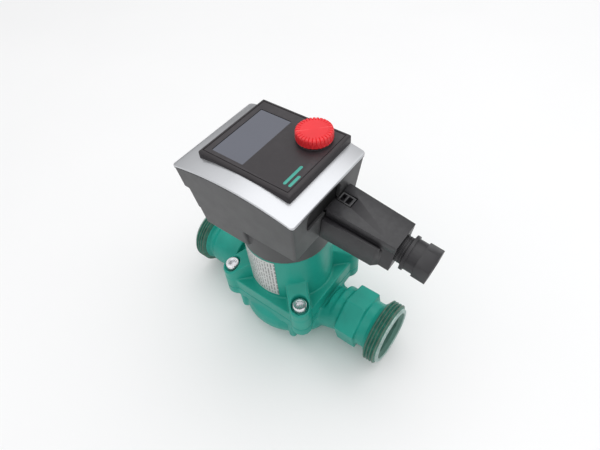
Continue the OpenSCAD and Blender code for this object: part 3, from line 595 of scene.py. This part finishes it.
for node, name, body, width in (("plug_body", "plug_shell", "plug", 0.5),
                                ("plug_cover", "plug_lid", "plug", 0.5),
                                ("gland_nut", "gland_cap", "gland_nut", 0.3),
                                ("plug_latch", "plug_catch", "latch", 0.2)):
    obj = copy_of(node, name)
    if node == "plug_body":
        # groove between each rail and the narrower upper part
        for side in (-1, 1):
            ends = [(1.0, RAIL_IN[0]), (RAIL_X1 + 1.0, RAIL_IN[1])]
            rings = [[(x, side * y, GROOVE_Z), (x, side * (y + GROOVE_W), GROOVE_Z),
                      (x, side * (y + GROOVE_W), GROOVE_TOP), (x, side * y, GROOVE_TOP)]
                     for x, y in ends]
            cut(obj, loft("groove", rings, PLUG))
    if node == "plug_cover":
        # wider gap round the latch
        gap_y = (LATCH_Y - LATCH_HALF, LATCH_Y + LATCH_HALF)
        cut(obj, slab("gap", (-1.0, LATCH_X1), gap_y, [(0, -4.0), (0, 2.0)], 0.4, PLUG))
    finish_piece(bevelled(obj, width), body, LOOKS["plug_black"], [node], angle=35)

thread = [(COLLAR_R - 0.6, GLAND_X - 0.2)]
for k in range(GLAND_CRESTS):
    x = GLAND_X + 0.7 + GLAND_PITCH * k
    thread += [(COLLAR_R - 0.1, x - 0.5), (COLLAR_R + 0.25, x - 0.15),
               (COLLAR_R + 0.25, x + 0.15), (COLLAR_R - 0.1, x + 0.5)]
thread += [(COLLAR_R - 0.6, GLAND_X + 8.0)]
ring = lathe("gland_thread", thread, 96, PLUG @ Matrix.Translation((0, 0, GLAND_Z)) @ SIDE, True)
finish_piece(ring, "plug", LOOKS["plug_black"])


# ---------- rating plate ----------

def label_material():
    """Silver-white film with plain grey dashes in place of print."""
    mat = material("label_film", (0.62, 0.63, 0.62), 0.34, metallic=0.2, tone=0.03,
                   grain=(1500, 0.08, 0.03))
    nt = mat.node_tree
    nodes, links = nt.nodes, nt.links
    bsdf = nodes["Principled BSDF"]
    coord = nodes.new("ShaderNodeTexCoord")
    sep = nodes.new("ShaderNodeSeparateXYZ")
    links.new(coord.outputs["Object"], sep.inputs[0])

    def math_node(op, a, b=None):
        n = nodes.new("ShaderNodeMath")
        n.operation = op
        for i, v in enumerate((a, b)):
            if v is None:
                continue
            if isinstance(v, (int, float)):
                n.inputs[i].default_value = v
            else:
                links.new(v, n.inputs[i])
        return n.outputs[0]

    ang = math_node("ARCTAN2", sep.outputs["Y"], sep.outputs["X"])
    rows = math_node("MULTIPLY", ang, MOTOR_R / ROW_PITCH)
    in_row = math_node("LESS_THAN", math_node("FRACT", rows), ROW_SHARE)
    comb = nodes.new("ShaderNodeCombineXYZ")
    links.new(math_node("FLOOR", rows), comb.inputs["X"])
    links.new(math_node("MULTIPLY", sep.outputs["Z"], DASH_RATE), comb.inputs["Y"])
    dash = nodes.new("ShaderNodeTexNoise")
    dash.inputs["Scale"].default_value = 1.0
    dash.inputs["Detail"].default_value = 2.0
    links.new(comb.outputs[0], dash.inputs["Vector"])
    on = math_node("GREATER_THAN", dash.outputs["Fac"], DASH_LEVEL)
    above = math_node("GREATER_THAN", sep.outputs["Z"], PRINT_Z[0])
    below = math_node("LESS_THAN", sep.outputs["Z"], PRINT_Z[1])
    in_band = math_node("MULTIPLY", above, below)
    dashes = math_node("MULTIPLY", math_node("MULTIPLY", in_row, on), in_band)
    fac = math_node("MULTIPLY", dashes, PRINT_STRENGTH)
    mix = nodes.new("ShaderNodeMix")
    mix.data_type = "RGBA"
    old = bsdf.inputs["Base Color"].links[0].from_socket
    links.new(fac, mix.inputs["Factor"])
    links.new(old, mix.inputs["A"])
    mix.inputs["B"].default_value = (0.10, 0.10, 0.10, 1)
    links.new(mix.outputs["Result"], bsdf.inputs["Base Color"])
    return mat


NODES["rating_plate"].data.materials.clear()
NODES["rating_plate"].data.materials.append(label_material())

# ---------- stage ----------

# The camera solved from the photograph: focal length in pixels, angles in radians, place in metres
FOCAL_PX, WIDTH_PX, SENSOR_MM = 471.6035, 600, 36
YAW, TILT, ROLL = -0.7147600, -0.8725449, -0.0946644
CAM = (0.1468878, -0.1557143, 0.3502758)
ahead = Vector((math.sin(YAW) * math.cos(TILT), math.cos(YAW) * math.cos(TILT), math.sin(TILT)))
level = Vector((math.cos(YAW), -math.sin(YAW), 0))
upright = level.cross(ahead)
right = math.cos(ROLL) * level + math.sin(ROLL) * upright
up = -math.sin(ROLL) * level + math.cos(ROLL) * upright
cam = bpy.data.cameras.new("camera")
cam.sensor_width, cam.lens = SENSOR_MM, FOCAL_PX * SENSOR_MM / WIDTH_PX
cam_obj = linked("camera", cam)
cam_obj.matrix_world = Matrix(((right.x, up.x, -ahead.x, CAM[0]),
                               (right.y, up.y, -ahead.y, CAM[1]),
                               (right.z, up.z, -ahead.z, CAM[2]),
                               (0, 0, 0, 1)))
bpy.context.scene.camera = cam_obj
bpy.context.scene.view_settings.view_transform = "Standard"

FLOOR_HALF = 3000
HORIZON, ZENITH = 0.16, 1.12  # strength of the sky
HORIZON_TOP, ZENITH_FROM = 0.08, 0.8  # upward part of a direction where each strength begins
AIM = Vector((0, 0, 0.08))

floor_corners = [(-FLOOR_HALF, -FLOOR_HALF, 0), (FLOOR_HALF, -FLOOR_HALF, 0),
                 (FLOOR_HALF, FLOOR_HALF, 0), (-FLOOR_HALF, FLOOR_HALF, 0)]
floor = make("floor", floor_corners, [(0, 1, 2, 3)])
floor_mat = material("floor_pale", (0.905, 0.907, 0.912), 0.6, tone=0.01, tone_scale=4,
                     grain=(200, 0.02, 0.05))
floor.data.materials.append(floor_mat)


def area(name, loc, size, energy):
    """A square light that points at the object."""
    light = bpy.data.lights.new(name, "AREA")
    light.energy, light.size = energy, size
    obj = linked(name, light)
    obj.location = loc
    obj.rotation_euler = (AIM - Vector(loc)).to_track_quat("-Z", "Y").to_euler()


world = bpy.data.worlds.new("studio")
bpy.context.scene.world = world
world.use_nodes = True
sky = world.node_tree
coord = sky.nodes.new("ShaderNodeTexCoord")
split = sky.nodes.new("ShaderNodeSeparateXYZ")
lift = sky.nodes.new("ShaderNodeMapRange")
lift.inputs["From Min"].default_value = HORIZON_TOP
lift.inputs["From Max"].default_value = ZENITH_FROM
lift.inputs["To Min"].default_value = HORIZON
lift.inputs["To Max"].default_value = ZENITH
sky.links.new(coord.outputs["Generated"], split.inputs[0])
sky.links.new(split.outputs["Z"], lift.inputs["Value"])
sky.links.new(lift.outputs["Result"], sky.nodes["Background"].inputs[1])
sky.nodes["Background"].inputs[0].default_value = (1, 1, 1, 1)
area("key", (0.12, 0.30, 1.1), 1.3, 3.6)
area("front", (0.5, -0.9, 0.7), 0.9, 0.7)
